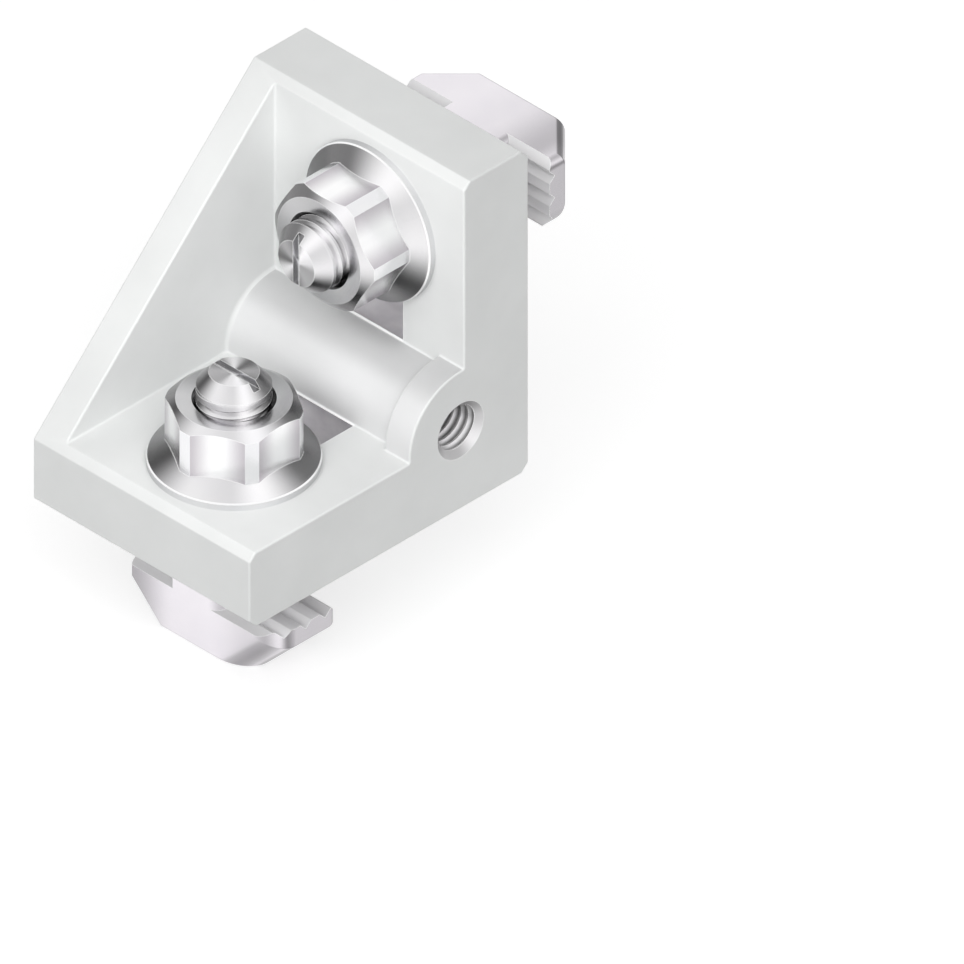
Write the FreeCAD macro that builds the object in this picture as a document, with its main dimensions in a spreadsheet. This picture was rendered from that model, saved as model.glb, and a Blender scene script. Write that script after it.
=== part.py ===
"""Right-angle corner bracket for slotted aluminium profiles, with its two T-bolts and flange nuts.

The bracket is a die casting: two thick legs, a gusset wall on one side, a round boss along the inner
corner and a T-shaped slot through each leg. Lengths are in millimetres.

Frame: the base face of the lower leg is Z = 0 and faces down, the back face of the upper leg is Y = 0
and faces +Y. The lower leg runs towards -Y and the upper leg runs up. X = 0 is the plane of both bolts;
the gusset wall is on the -X side and the open side faces +X. The origin is where the two mounting faces
would meet, on the bolts' plane.
"""
import FreeCAD, Part
import os
import Sketcher

# Driving dimensions: name, value in millimetres (or degrees, or a count), what it is
SIZES = [
    ("leg_height", 40.0, "upper leg, from the base face to its top"),
    ("leg_depth", 40.0, "lower leg, from the back face to its front"),
    ("bracket_width", 31.0, "casting across both sides"),
    ("open_side", 13.0, "bolts' plane to the open side"),
    ("leg_thickness", 9.25, "both legs"),
    ("gusset_thickness", 3.9, "triangular wall"),
    ("slope_land", 8.4, "mounting face to the slope, along a leg's end face"),
    ("tip_chamfer", 1.1, "outer edge of each leg's tip"),
    ("corner_chamfer", 0.95, "outer corner between the mounting faces"),
    ("edge_round", 0.25, "cast edges"),
    ("boss_rise", 0.5, "boss axis beyond the legs' inner faces"),
    ("boss_diameter", 12.8, "boss along the inner corner"),
    ("boss_blend", 0.5, "fillet where the boss meets the gusset wall"),
    ("collar_diameter", 14.6, "collar at the open side"),
    ("collar_width", 3.6, "collar along its axis"),
    ("thread_drill", 5.0, "core hole of the M6 thread"),
    ("thread_depth", 14.0, "core hole from the open side"),
    ("drill_point", 1.5, "cone at the core hole's bottom"),
    ("mouth_diameter", 6.6, "countersink of the thread"),
    ("mouth_depth", 0.7, "countersink of the thread"),
    ("slot_wall", 2.05, "core hole to the slot's inner end"),
    ("slot_play", 0.7, "slot width over the shank"),
    ("slot_end_round", 2.0, "corners at the slot's inner end"),
    ("window_lead", 3.65, "bolt axis to the step between slot and window"),
    ("window_gap", 0.4, "shank to the window's far end"),
    ("window_width", 14.6, "wide part of the T-shaped slot"),
    ("window_round", 1.0, "corners of the wide part"),
    ("bolt_offset", 29.2, "bolt axis to the other leg's mounting face"),
    ("shank_diameter", 7.8, "M8 shank over its thread"),
    ("bolt_stand_out", 3.25, "bolt end above the nut"),
    ("end_cone", 1.45, "cone at the bolt's end, along the axis"),
    ("end_face", 5.2, "diameter of the bolt's end face"),
    ("notch_width", 0.9, "notch across the bolt's end"),
    ("notch_depth", 0.8, "notch across the bolt's end"),
    ("grip_gap", 5.7, "mounting face to the head's bearing face"),
    ("head_length", 20.6, "T-head along its long axis"),
    ("head_width", 9.0, "T-head across"),
    ("head_thickness", 6.4, "T-head along the bolt's axis"),
    ("head_end", 2.2, "straight part of the head's ends"),
    ("head_taper", 4.2, "taper of the head's ends, along the long axis"),
    ("head_lead_round", 3.2, "leading corner, which lets the head turn in the groove"),
    ("head_stop_round", 1.1, "corner beside it, which ends the quarter turn"),
    ("head_edge", 0.8, "bevels on the bearing face's long edges"),
    ("forged_round", 0.3, "forged edges of the head"),
    ("neck_length", 8.6, "square neck along the head's long axis"),
    ("neck_height", 3.4, "square neck above the bearing face"),
    ("neck_lead_round", 3.6, "leading corner of the neck"),
    ("groove_pitch", 2.75, "V-grooves on the bearing faces"),
    ("groove_width", 1.5, "V-grooves across"),
    ("groove_depth", 0.75, "V-grooves"),
    ("groove_count", 3, "V-grooves across the head"),
    ("nut_height", 7.8, "flange nut along its axis"),
    ("across_flats", 13.0, "hexagon"),
    ("across_corners", 14.26, "circle that trims the hexagon's corners"),
    ("nut_top", 11.9, "diameter of the nut's flat top"),
    ("nut_top_drop", 0.85, "bevel of the hexagon's corners, along the axis"),
    ("flange_diameter", 17.9, "flange"),
    ("flange_rim", 0.75, "straight part of the rim"),
    ("rim_bevel", 0.25, "bevel at the rim's top edge"),
    ("flange_angle", 30.0, "slope of the flange, in degrees"),
    ("thread_clearance", 0.05, "shank to the nut's bore, all round"),
    ("bore_mouth", 0.4, "countersink at both ends of the nut's bore"),
    ("nut_turn", 30.0, "turn of the upper nut against the lower one, in degrees"),
    ("notch_turn", 90.0, "turn of the upper bolt's notch against its head, in degrees"),
]

# Two faces that meet at less than this angle, in radians, have no edge to round
SHARP_ANGLE = 0.1

document = FreeCAD.newDocument("corner_bracket")


def make_sheet():
    """The spreadsheet with one row for each driving dimension."""
    table = document.addObject("Spreadsheet::Sheet", "sizes")
    for row, (name, size, meaning) in enumerate(SIZES, start=1):
        table.set(f"A{row}", name)
        table.set(f"B{row}", str(size))
        table.set(f"C{row}", meaning)
        table.setAlias(f"B{row}", name)
    document.recompute()
    return table


sheet = make_sheet()


def value(formula):
    """The present value of a formula of the driving dimensions."""
    return float(sheet.evalExpression(formula))


def bound(formula):
    """The formula with each dimension's name led by the sheet's, as other objects need it."""
    names = sorted((name for name, _, _ in SIZES), key=len, reverse=True)
    words = formula
    for index, name in enumerate(names):
        words = words.replace(name, f"<{index}>")
    for index, name in enumerate(names):
        words = words.replace(f"<{index}>", f"sizes.{name}")
    return words


def bind(item, path, formula):
    item.setExpression(path, bound(formula))


# Sketches

def origin_feature(body, role):
    for feature in body.Origin.OriginFeatures:
        if feature.Role == role:
            return feature
    raise ValueError(f"{body.Name} has no {role}")


def new_sketch(body, name, plane, offset=None):
    """A sketch on one of the body's own origin planes, moved along its normal by a formula."""
    sketch = body.newObject("Sketcher::SketchObject", f"{body.Name}_{name}")
    sketch.AttachmentSupport = [(origin_feature(body, plane), "")]
    sketch.MapMode = "FlatFace"
    if offset:
        bind(sketch, "AttachmentOffset.Base.z", offset)
    return sketch


def hold(sketch, kind, geometry, point, formula):
    """Fix one coordinate of a point at a formula's value, measured from the sketch's origin."""
    if abs(value(formula)) < 1e-9:
        axis = -2 if kind == "DistanceX" else -1
        sketch.addConstraint(Sketcher.Constraint("PointOnObject", geometry, point, axis))
        return
    number = sketch.addConstraint(
        Sketcher.Constraint(kind, -1, 1, geometry, point, value(formula)))
    bind(sketch, f"Constraints[{number}]", formula)


def draw_outline(sketch, corners):
    """A closed outline of straight edges through corners given as pairs of formulas."""
    places = [FreeCAD.Vector(value(across), value(up), 0) for across, up in corners]
    first = sketch.GeometryCount
    for start, end in zip(places, places[1:] + places[:1]):
        sketch.addGeometry(Part.LineSegment(start, end))
    for index, (across, up) in enumerate(corners):
        line = first + index
        before = first + (index - 1) % len(corners)
        sketch.addConstraint(Sketcher.Constraint("Coincident", before, 2, line, 1))
        hold(sketch, "DistanceX", line, 1, across)
        hold(sketch, "DistanceY", line, 1, up)


def draw_square_outline(sketch, corners):
    """A closed outline of edges along the sketch's axes; each corner is (across, up, radius or None)."""
    count = len(corners)
    places = [FreeCAD.Vector(value(across), value(up), 0) for across, up, _ in corners]
    radii = [value(radius) if radius else 0.0 for _, _, radius in corners]
    lines = []
    for index in range(count):
        start, end = places[index], places[(index + 1) % count]
        along = (end - start).normalize()
        lines.append(sketch.addGeometry(Part.LineSegment(
            start + along * radii[index], end - along * radii[(index + 1) % count])))
    for index, (across, up, radius) in enumerate(corners):
        line, before = lines[index], lines[index - 1]
        level = abs(places[(index + 1) % count].y - places[index].y) < 1e-9
        sketch.addConstraint(Sketcher.Constraint("Horizontal" if level else "Vertical", line))
        hold(sketch, "DistanceY" if level else "DistanceX", line, 1, up if level else across)
        if not radius:
            sketch.addConstraint(Sketcher.Constraint("Coincident", before, 2, line, 1))
            continue
        arriving = (places[index] - places[index - 1]).normalize()
        leaving = (places[(index + 1) % count] - places[index]).normalize()
        centre = places[index] + (leaving - arriving) * radii[index]
        left_turn = arriving.cross(leaving).z > 0
        to_first = (arriving if left_turn else leaving * -1)
        to_last = (leaving if left_turn else arriving * -1)
        start_angle = FreeCAD.Vector(0, 0, 1).cross(to_first) * -1
        end_angle = FreeCAD.Vector(0, 0, 1).cross(to_last) * -1
        circle = Part.Circle(centre, FreeCAD.Vector(0, 0, 1), radii[index])
        arc = sketch.addGeometry(Part.ArcOfCircle(
            circle,
            circle.parameter(centre + start_angle * radii[index]),
            circle.parameter(centre + end_angle * radii[index])))
        sketch.addConstraint(Sketcher.Constraint("Tangent", before, 2, arc, 1 if left_turn else 2))
        sketch.addConstraint(Sketcher.Constraint("Tangent", line, 1, arc, 2 if left_turn else 1))
        number = sketch.addConstraint(Sketcher.Constraint("Radius", arc, radii[index]))
        bind(sketch, f"Constraints[{number}]", radius)


def draw_circle(sketch, across, up, diameter):
    place = FreeCAD.Vector(value(across), value(up), 0)
    circle = sketch.addGeometry(
        Part.Circle(place, FreeCAD.Vector(0, 0, 1), value(diameter) / 2))
    hold(sketch, "DistanceX", circle, 3, across)
    hold(sketch, "DistanceY", circle, 3, up)
    number = sketch.addConstraint(Sketcher.Constraint("Diameter", circle, value(diameter)))
    bind(sketch, f"Constraints[{number}]", diameter)


def draw_hexagon(sketch, across_flats):
    """A regular hexagon about the origin with two flats square to the sketch's first axis."""
    half = f"({across_flats}) / 2"
    side = f"({across_flats}) / 2 * tan(30)"
    point = f"({across_flats}) / 2 / cos(30)"
    draw_outline(sketch, [
        (half, f"-({side})"), (half, side), ("0", point),
        (f"-({half})", side), (f"-({half})", f"-({side})"), ("0", f"-({point})")])


# Features

def pad(body, sketch, name, length, reverse=False, both_sides=False):
    feature = body.newObject("PartDesign::Pad", f"{body.Name}_{name}")
    feature.Profile = sketch
    bind(feature, "Length", length)
    feature.Reversed = reverse
    feature.Midplane = both_sides
    document.recompute()
    return feature


def pocket(body, sketch, name, length, reverse=False, both_sides=False):
    feature = body.newObject("PartDesign::Pocket", f"{body.Name}_{name}")
    before = body.Shape.Volume
    feature.Profile = sketch
    bind(feature, "Length", length)
    feature.Reversed = reverse
    feature.Midplane = both_sides
    document.recompute()
    check_removed(feature, before, body)
    return feature


def revolve(body, sketch, name, axis):
    feature = body.newObject("PartDesign::Revolution", f"{body.Name}_{name}")
    feature.Profile = sketch
    feature.ReferenceAxis = (sketch, [axis])
    feature.Angle = 360
    document.recompute()
    return feature


def groove(body, sketch, name, axis):
    feature = body.newObject("PartDesign::Groove", f"{body.Name}_{name}")
    before = body.Shape.Volume
    feature.Profile = sketch
    feature.ReferenceAxis = (sketch, [axis])
    feature.Angle = 360
    document.recompute()
    check_removed(feature, before, body)
    return feature


def check_removed(feature, before, body):
    if body.Shape.Volume >= before - 1e-6:
        raise RuntimeError(f"{feature.Name} removed nothing")


def edges_where(shape, test):
    """Names of the edges that pass a test of the shape, the edge and its middle point."""
    names = []
    for number, edge in enumerate(shape.Edges, start=1):
        middle = edge.valueAt((edge.FirstParameter + edge.LastParameter) / 2)
        if test(shape, edge, middle):
            names.append(f"Edge{number}")
    return names


def is_sharp(shape, edge, middle):
    """True where the two faces beside an edge meet at an angle."""
    faces = shape.ancestorsOfType(edge, Part.Face)
    if len(faces) != 2:
        return False
    normals = [face.normalAt(*face.Surface.parameter(middle)) for face in faces]
    return normals[0].getAngle(normals[1]) > SHARP_ANGLE


def fillet(body, name, radius, test):
    """Round the edges of the body so far that pass a test."""
    base = body.Tip
    names = edges_where(base.Shape, test)
    feature = body.newObject("PartDesign::Fillet", f"{body.Name}_{name}")
    feature.Base = (base, names)
    bind(feature, "Radius", radius)
    document.recompute()
    return feature


def new_body(name):
    body = document.addObject("PartDesign::Body", name)
    body.Label = name
    return body


# Bracket

BOSS_AXIS = "(leg_thickness + boss_rise)"
SLOT_START = f"({BOSS_AXIS} + thread_drill / 2 + slot_wall)"
WINDOW_START = "(bolt_offset - window_lead)"
WINDOW_END = "(bolt_offset + shank_diameter / 2 + window_gap)"
SLOPE_FALL = "((leg_height - slope_land) / (leg_depth - slope_land))"
LOWER_TIP_EDGE = f"(leg_depth - (leg_thickness - slope_land) / {SLOPE_FALL})"
UPPER_TIP_EDGE = f"(leg_height - (leg_thickness - slope_land) * {SLOPE_FALL})"
GUSSET_OUTER = "(open_side - bracket_width)"


def outer_outline():
    """The mounting faces and leg tips, seen from the open side, from the lower tip to the upper."""
    return [
        ("-leg_depth", "tip_chamfer"),
        ("tip_chamfer - leg_depth", "0"),
        ("-corner_chamfer", "0"),
        ("0", "corner_chamfer"),
        ("0", "leg_height - tip_chamfer"),
        ("-tip_chamfer", "leg_height"),
        ("-slope_land", "leg_height"),
    ]


def slot_outline(sign):
    """The T-shaped slot; sign is - for the lower leg, which runs towards -Y, and + for the upper."""
    narrow = "(shank_diameter + slot_play) / 2"
    wide = "window_width / 2"
    start, step, end = (f"{sign}{place}" for place in (SLOT_START, WINDOW_START, WINDOW_END))
    return [
        (f"-{narrow}", start, "slot_end_round"),
        (f"-{narrow}", step, None),
        (f"-{wide}", step, "window_round"),
        (f"-{wide}", end, "window_round"),
        (wide, end, "window_round"),
        (wide, step, "window_round"),
        (narrow, step, None),
        (narrow, start, "slot_end_round"),
    ]


def add_legs(body):
    sketch = new_sketch(body, "leg_outline", "YZ_Plane", GUSSET_OUTER)
    draw_outline(sketch, outer_outline() + [
        ("-leg_thickness", UPPER_TIP_EDGE),
        ("-leg_thickness", "leg_thickness"),
        (f"-{LOWER_TIP_EDGE}", "leg_thickness"),
        ("-leg_depth", "slope_land"),
    ])
    pad(body, sketch, "legs", "bracket_width")


def add_gusset(body):
    sketch = new_sketch(body, "gusset_outline", "YZ_Plane", GUSSET_OUTER)
    draw_outline(sketch, outer_outline() + [("-leg_depth", "slope_land")])
    pad(body, sketch, "gusset", "gusset_thickness")


def add_boss(body):
    boss = new_sketch(body, "boss_outline", "YZ_Plane", f"{GUSSET_OUTER} + gusset_thickness / 2")
    draw_circle(boss, f"-{BOSS_AXIS}", BOSS_AXIS, "boss_diameter")
    pad(body, boss, "boss", "bracket_width - gusset_thickness / 2")
    collar = new_sketch(body, "collar_outline", "YZ_Plane", "open_side")
    draw_circle(collar, f"-{BOSS_AXIS}", BOSS_AXIS, "collar_diameter")
    pad(body, collar, "collar", "collar_width", reverse=True)


def on_boss_root(shape, edge, middle):
    """True for the edge where the boss grows out of the gusset wall."""
    wall = value(f"{GUSSET_OUTER} + gusset_thickness")
    axis = value(BOSS_AXIS)
    reach = ((middle.y + axis) ** 2 + (middle.z - axis) ** 2) ** 0.5
    return abs(middle.x - wall) < 1e-3 and abs(reach - value("boss_diameter / 2")) < 1e-3


def add_thread_hole(body):
    """The core hole of the accessory thread, blind, from the open side."""
    sketch = new_sketch(body, "hole_section", "XY_Plane", BOSS_AXIS)
    rim, bore = "mouth_diameter / 2", "thread_drill / 2"
    draw_outline(sketch, [
        ("open_side", f"-{BOSS_AXIS}"),
        ("open_side", f"-{BOSS_AXIS} + {rim}"),
        ("open_side - mouth_depth", f"-{BOSS_AXIS} + {bore}"),
        ("open_side - thread_depth", f"-{BOSS_AXIS} + {bore}"),
        ("open_side - thread_depth - drill_point", f"-{BOSS_AXIS}"),
    ])
    axis = sketch.addGeometry(Part.LineSegment(
        FreeCAD.Vector(0, -value(BOSS_AXIS), 0),
        FreeCAD.Vector(value("open_side"), -value(BOSS_AXIS), 0)), True)
    sketch.addConstraint(Sketcher.Constraint("Horizontal", axis))
    hold(sketch, "DistanceX", axis, 1, "0")
    hold(sketch, "DistanceX", axis, 2, "open_side")
    hold(sketch, "DistanceY", axis, 1, f"-{BOSS_AXIS}")
    groove(body, sketch, "thread_hole", "Axis0")


def add_slots(body):
    lower = new_sketch(body, "lower_slot_outline", "XY_Plane")
    draw_square_outline(lower, slot_outline("-"))
    pocket(body, lower, "lower_slot", "leg_thickness", reverse=True)
    upper = new_sketch(body, "upper_slot_outline", "XZ_Plane")
    draw_square_outline(upper, slot_outline(""))
    pocket(body, upper, "upper_slot", "leg_thickness", reverse=True)


def make_bracket():
    body = new_body("bracket")
    add_legs(body)
    add_gusset(body)
    add_boss(body)
    fillet(body, "boss_blend", "boss_blend", on_boss_root)
    fillet(body, "cast_edges", "edge_round", is_sharp)
    add_slots(body)
    add_thread_hole(body)
    return body


# T-bolt, about its own axis: the mounting face is its Z = 0 and the nut's end is up

def add_head(body):
    plan = new_sketch(body, "head_plan", "XY_Plane", "-grip_gap")
    draw_square_outline(plan, [
        ("-head_length / 2", "-head_width / 2", None),
        ("head_length / 2", "-head_width / 2", None),
        ("head_length / 2", "head_width / 2", None),
        ("-head_length / 2", "head_width / 2", None),
    ])
    pad(body, plan, "head", "head_thickness", reverse=True)
    for side, sign in (("right", ""), ("left", "-")):
        taper = new_sketch(body, f"{side}_taper_outline", "XZ_Plane")
        end = f"{sign}(head_length / 2)"
        beyond = f"{sign}(head_length / 2 + head_taper)"
        inner = f"{sign}(head_length / 2 - head_taper)"
        draw_outline(taper, [
            (end, "-grip_gap - head_end"),
            (beyond, "-grip_gap - head_end"),
            (beyond, "-grip_gap - head_thickness"),
            (inner, "-grip_gap - head_thickness"),
        ])
        pocket(body, taper, f"{side}_taper", "head_width * 2", both_sides=True)
    fillet(body, "leading_corner", "head_lead_round", on_leading_corner)
    fillet(body, "stop_corner", "head_stop_round", on_stop_corner)
    fillet(body, "forged_edges", "forged_round", off_bearing_face)


def on_right_end(middle):
    """True for the end and its taper, but not for the long edges."""
    return middle.x > value("head_length / 2 - head_taper")


def on_leading_corner(shape, edge, middle):
    return on_right_end(middle) and abs(middle.y + value("head_width / 2")) < 1e-3


def on_stop_corner(shape, edge, middle):
    return on_right_end(middle) and abs(middle.y - value("head_width / 2")) < 1e-3


def off_bearing_face(shape, edge, middle):
    """True for the head's sharp edges away from the face that grips the groove."""
    return middle.z < value("-grip_gap - head_end / 4") and is_sharp(shape, edge, middle)


def add_grooves(body):
    """V-grooves along the bearing faces, which bite into the profile's lips, and two edge bevels."""
    first = "(-groove_pitch * (groove_count - 1) / 2)"
    section = new_sketch(body, "groove_outline", "YZ_Plane")
    draw_outline(section, [
        (f"{first} - groove_width / 2", "-grip_gap"),
        (first, "-grip_gap - groove_depth"),
        (f"{first} + groove_width / 2", "-grip_gap"),
    ])
    cut = pocket(body, section, "groove", "head_length * 2", both_sides=True)
    row = body.newObject("PartDesign::LinearPattern", f"{body.Name}_grooves")
    row.Originals = [cut]
    row.Direction = (origin_feature(body, "Y_Axis"), [""])
    bind(row, "Length", "groove_pitch * (groove_count - 1)")
    bind(row, "Occurrences", "groove_count")
    body.Tip = row
    document.recompute()
    for side, sign in (("front", "-"), ("back", "")):
        bevel = new_sketch(body, f"{side}_bevel_outline", "YZ_Plane")
        draw_outline(bevel, [
            (f"{sign}(head_width / 2)", "-grip_gap - head_edge"),
            (f"{sign}(head_width / 2 - head_edge)", "-grip_gap"),
            (f"{sign}(head_width / 2)", "-grip_gap"),
        ])
        pocket(body, bevel, f"{side}_bevel", "head_length * 2", both_sides=True)


def add_neck(body):
    """The square neck, rooted below the grooves, which keeps the bolt from turning on."""
    plan = new_sketch(body, "neck_plan", "XY_Plane", "-grip_gap - head_end / 2")
    draw_square_outline(plan, [
        ("-neck_length / 2", "-head_width / 2", None),
        ("neck_length / 2", "-head_width / 2", "neck_lead_round"),
        ("neck_length / 2", "head_width / 2", "head_stop_round"),
        ("-neck_length / 2", "head_width / 2", None),
    ])
    pad(body, plan, "neck", "neck_height + head_end / 2")


def add_shank(body):
    side = new_sketch(body, "shank_section", "XZ_Plane")
    shank, end = "shank_diameter / 2", "end_face / 2"
    top = "leg_thickness + nut_height + bolt_stand_out"
    draw_outline(side, [
        ("0", "-grip_gap"),
        (shank, "-grip_gap"),
        (shank, f"{top} - end_cone"),
        (end, top),
        ("0", top),
    ])
    revolve(body, side, "shank", "V_Axis")


def add_notch(body, turn):
    """The notch across the end; turn is a formula, in degrees from the head's long axis."""
    notch = new_sketch(body, "notch_outline", "XY_Plane",
                       "leg_thickness + nut_height + bolt_stand_out")
    bind(notch, "AttachmentOffset.Rotation.Angle", turn)
    half = "notch_width / 2"
    reach = "shank_diameter"
    draw_outline(notch, [
        (f"-{reach}", f"-{half}"), (reach, f"-{half}"), (reach, half), (f"-{reach}", half)])
    pocket(body, notch, "notch", "notch_depth")


def make_t_bolt(name, notch_turn):
    body = new_body(name)
    add_head(body)
    add_grooves(body)
    add_neck(body)
    add_shank(body)
    add_notch(body, notch_turn)
    return body


# Flange nut, about its own axis: its bearing face is its Z = 0

def make_flange_nut(name):
    body = new_body(name)
    hexagon = new_sketch(body, "hexagon_outline", "XY_Plane")
    draw_hexagon(hexagon, "across_flats")
    pad(body, hexagon, "hexagon", "nut_height")

    trim = new_sketch(body, "corner_section", "XZ_Plane")
    top, corner = "nut_top / 2", "across_corners / 2"
    draw_outline(trim, [
        (top, "nut_height"),
        (corner, "nut_height - nut_top_drop"),
        (corner, "0"),
        ("across_flats", "0"),
        ("across_flats", "nut_height"),
    ])
    groove(body, trim, "corner_trim", "V_Axis")

    flange = new_sketch(body, "flange_section", "XZ_Plane")
    rim, inner = "flange_diameter / 2", "shank_diameter / 2"
    crest = "flange_rim + rim_bevel"
    cone = f"{crest} + (flange_diameter / 2 - rim_bevel - {inner}) * tan(flange_angle)"
    draw_outline(flange, [
        ("0", "0"),
        (rim, "0"),
        (rim, "flange_rim"),
        (f"{rim} - rim_bevel", crest),
        (inner, cone),
        ("0", cone),
    ])
    revolve(body, flange, "flange", "V_Axis")

    bore = new_sketch(body, "bore_section", "XZ_Plane")
    wall = "(shank_diameter / 2 + thread_clearance)"
    draw_outline(bore, [
        ("0", "0"),
        (f"{wall} + bore_mouth", "0"),
        (wall, "bore_mouth"),
        (wall, "nut_height - bore_mouth"),
        (f"{wall} + bore_mouth", "nut_height"),
        ("0", "nut_height"),
    ])
    groove(body, bore, "bore", "V_Axis")
    return body


# Places: the lower pieces stand up, the upper ones lie along -Y

def place_lower(body, height=None):
    bind(body, "Placement.Base.y", "-bolt_offset")
    if height:
        bind(body, "Placement.Base.z", height)


def place_upper(body, turn, height=None):
    """Stand the piece's axis along -Y and turn it about that axis by a formula in degrees."""
    level = FreeCAD.Rotation(FreeCAD.Vector(1, 0, 0), 90)
    about_axis = FreeCAD.Rotation(FreeCAD.Vector(0, 0, 1), value(turn))
    body.Placement = FreeCAD.Placement(FreeCAD.Vector(0, 0, 0), level * about_axis)
    bind(body, "Placement.Base.z", "bolt_offset")
    if height:
        bind(body, "Placement.Base.y", f"-({height})")


def check_document():
    for item in document.Objects:
        if "Invalid" in item.State or "Error" in item.State:
            raise RuntimeError(f"{item.Name} failed: {item.State}")


def write_pieces(bodies):
    os.makedirs("parts", exist_ok=True)
    for body in bodies:
        shape = body.Shape
        if shape.isNull() or not shape.isValid():
            raise RuntimeError(f"{body.Label} has no valid shape")
        if len(shape.Solids) != 1:
            raise RuntimeError(f"{body.Label} is not one solid")
        shape.exportStep(os.path.join("parts", f"{body.Label}.step"))
        print(body.Label, "volume", round(shape.Volume, 2), "faces", len(shape.Faces))


bracket = make_bracket()
lower_t_bolt = make_t_bolt("lower_t_bolt", "0")
upper_t_bolt = make_t_bolt("upper_t_bolt", "notch_turn")
lower_flange_nut = make_flange_nut("lower_flange_nut")
upper_flange_nut = make_flange_nut("upper_flange_nut")
place_lower(lower_t_bolt)
place_lower(lower_flange_nut, "leg_thickness")
place_upper(upper_t_bolt, "0")
place_upper(upper_flange_nut, "nut_turn", "leg_thickness")
document.recompute()
check_document()
write_pieces([bracket, lower_t_bolt, upper_t_bolt, lower_flange_nut, upper_flange_nut])
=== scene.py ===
"""Looks of the corner bracket: cast aluminium, zinc-plated T-bolts and flange nuts, with their threads."""

import math

import bmesh
import bpy
from mathutils import Matrix, Vector


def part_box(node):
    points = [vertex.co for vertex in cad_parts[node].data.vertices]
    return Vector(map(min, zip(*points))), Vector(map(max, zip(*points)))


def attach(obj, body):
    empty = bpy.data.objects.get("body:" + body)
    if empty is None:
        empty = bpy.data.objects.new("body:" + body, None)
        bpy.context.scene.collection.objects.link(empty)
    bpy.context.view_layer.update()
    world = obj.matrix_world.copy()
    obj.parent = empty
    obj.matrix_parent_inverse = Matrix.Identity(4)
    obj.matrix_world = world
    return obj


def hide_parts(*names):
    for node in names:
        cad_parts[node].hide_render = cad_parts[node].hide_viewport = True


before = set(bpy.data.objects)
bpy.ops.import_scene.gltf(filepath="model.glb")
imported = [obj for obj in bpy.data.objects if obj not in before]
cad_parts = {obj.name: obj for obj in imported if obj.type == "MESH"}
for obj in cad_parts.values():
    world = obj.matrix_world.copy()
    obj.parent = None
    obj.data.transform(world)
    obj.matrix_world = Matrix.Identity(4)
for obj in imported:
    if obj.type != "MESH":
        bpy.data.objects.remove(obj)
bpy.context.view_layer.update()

MM = 0.001

# The photograph is an isometric drawing, 964 pixels square
IMAGE_SIZE = 964
PIXELS_PER_MM = 9.8745
VIEW_CENTRE = Vector((31.17, -24.86, 20.0)) * MM
TO_CAMERA = Vector((1.0, -1.0, 1.0)).normalized()
CAMERA_DISTANCE = 0.6

# Thread of the T-bolts: M8, drawn with wide crests
SHANK_RADIUS = 3.9 * MM
BOLT_PITCH = 1.25 * MM
BOLT_THREAD_DEPTH = 0.55 * MM
BOLT_CREST = 0.3
BOLT_RUN_IN = 0.35
BOLT_SHARP_ANGLE = 24
THREAD_BELOW_CONE = 0.1 * MM
THREAD_ABOVE_NECK = 1.0 * MM
ROD_IN_NECK = 1.0 * MM
NECK_TOP = -2.3 * MM
NECK_TRIM = 0.03 * MM
CONE_LENGTH = 1.45 * MM
END_FACE_RADIUS = 2.6 * MM
NOTCH_WIDTH = 0.9 * MM
NOTCH_DEPTH = 0.8 * MM
NOTCH_REACH = 1.1 * SHANK_RADIUS
LOWER_THREAD_START = 300.0
UPPER_THREAD_START = 210.0

# Tapped hole in the boss: M6, along X from the open side
HOLE_AXIS = 9.75 * MM
HOLE_CORE_RADIUS = 2.5 * MM
HOLE_PITCH = 1.0 * MM
HOLE_THREAD_DEPTH = 0.5 * MM
HOLE_CREST = 0.22
HOLE_RUN_IN = 0.5
BRACKET_SHARP_ANGLE = 28
HOLE_THREAD_TOP = 12.75 * MM
HOLE_THREAD_END = -0.4 * MM
MOUTH_RADIUS = 3.32 * MM
OPEN_SIDE = 13.0 * MM
LEG_THICKNESS = 9.25 * MM
BOSS_RADIUS = 6.4 * MM
COLLAR_RADIUS = 7.3 * MM

# Space in each leg that holds its slot
SLOT_SIDE_LOW = -13.0 * MM
SLOT_SIDE_HIGH = 11.5 * MM
SLOT_START = 10.0 * MM
SLOT_REACH = 39.0 * MM

# Fineness of the meshes, and the margin for telling their faces apart
WELD = 0.002 * MM
ROUND_SEGMENTS = 96
THREAD_STEPS = 72
GROOVE_OVERSHOOT = 0.08 * MM
GROOVE_FLOOR = 0.1
SMALLEST_GROWTH = 0.03
FACE_MARGIN = 0.1 * MM


# Meshes

def new_piece(name, mesh):
    piece = bpy.data.objects.new(name, mesh)
    bpy.context.scene.collection.objects.link(piece)
    return piece


def closed_mesh(name, vertices, faces):
    mesh = bpy.data.meshes.new(name)
    mesh.from_pydata(vertices, [], faces)
    skin = bmesh.new()
    skin.from_mesh(mesh)
    bmesh.ops.recalc_face_normals(skin, faces=skin.faces)
    skin.to_mesh(mesh)
    skin.free()
    return mesh


def welded_copy(node):
    """The CAD node's mesh as one closed skin, without its stored normals."""
    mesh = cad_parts[node].data.copy()
    skin = bmesh.new()
    skin.from_mesh(mesh)
    bmesh.ops.remove_doubles(skin, verts=skin.verts, dist=WELD)
    skin.to_mesh(mesh)
    skin.free()
    if "custom_normal" in mesh.attributes:
        mesh.attributes.remove(mesh.attributes["custom_normal"])
    return mesh


def apply_modifiers(piece):
    depsgraph = bpy.context.evaluated_depsgraph_get()
    finished = bpy.data.meshes.new_from_object(piece.evaluated_get(depsgraph))
    piece.modifiers.clear()
    piece.data = finished


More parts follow.
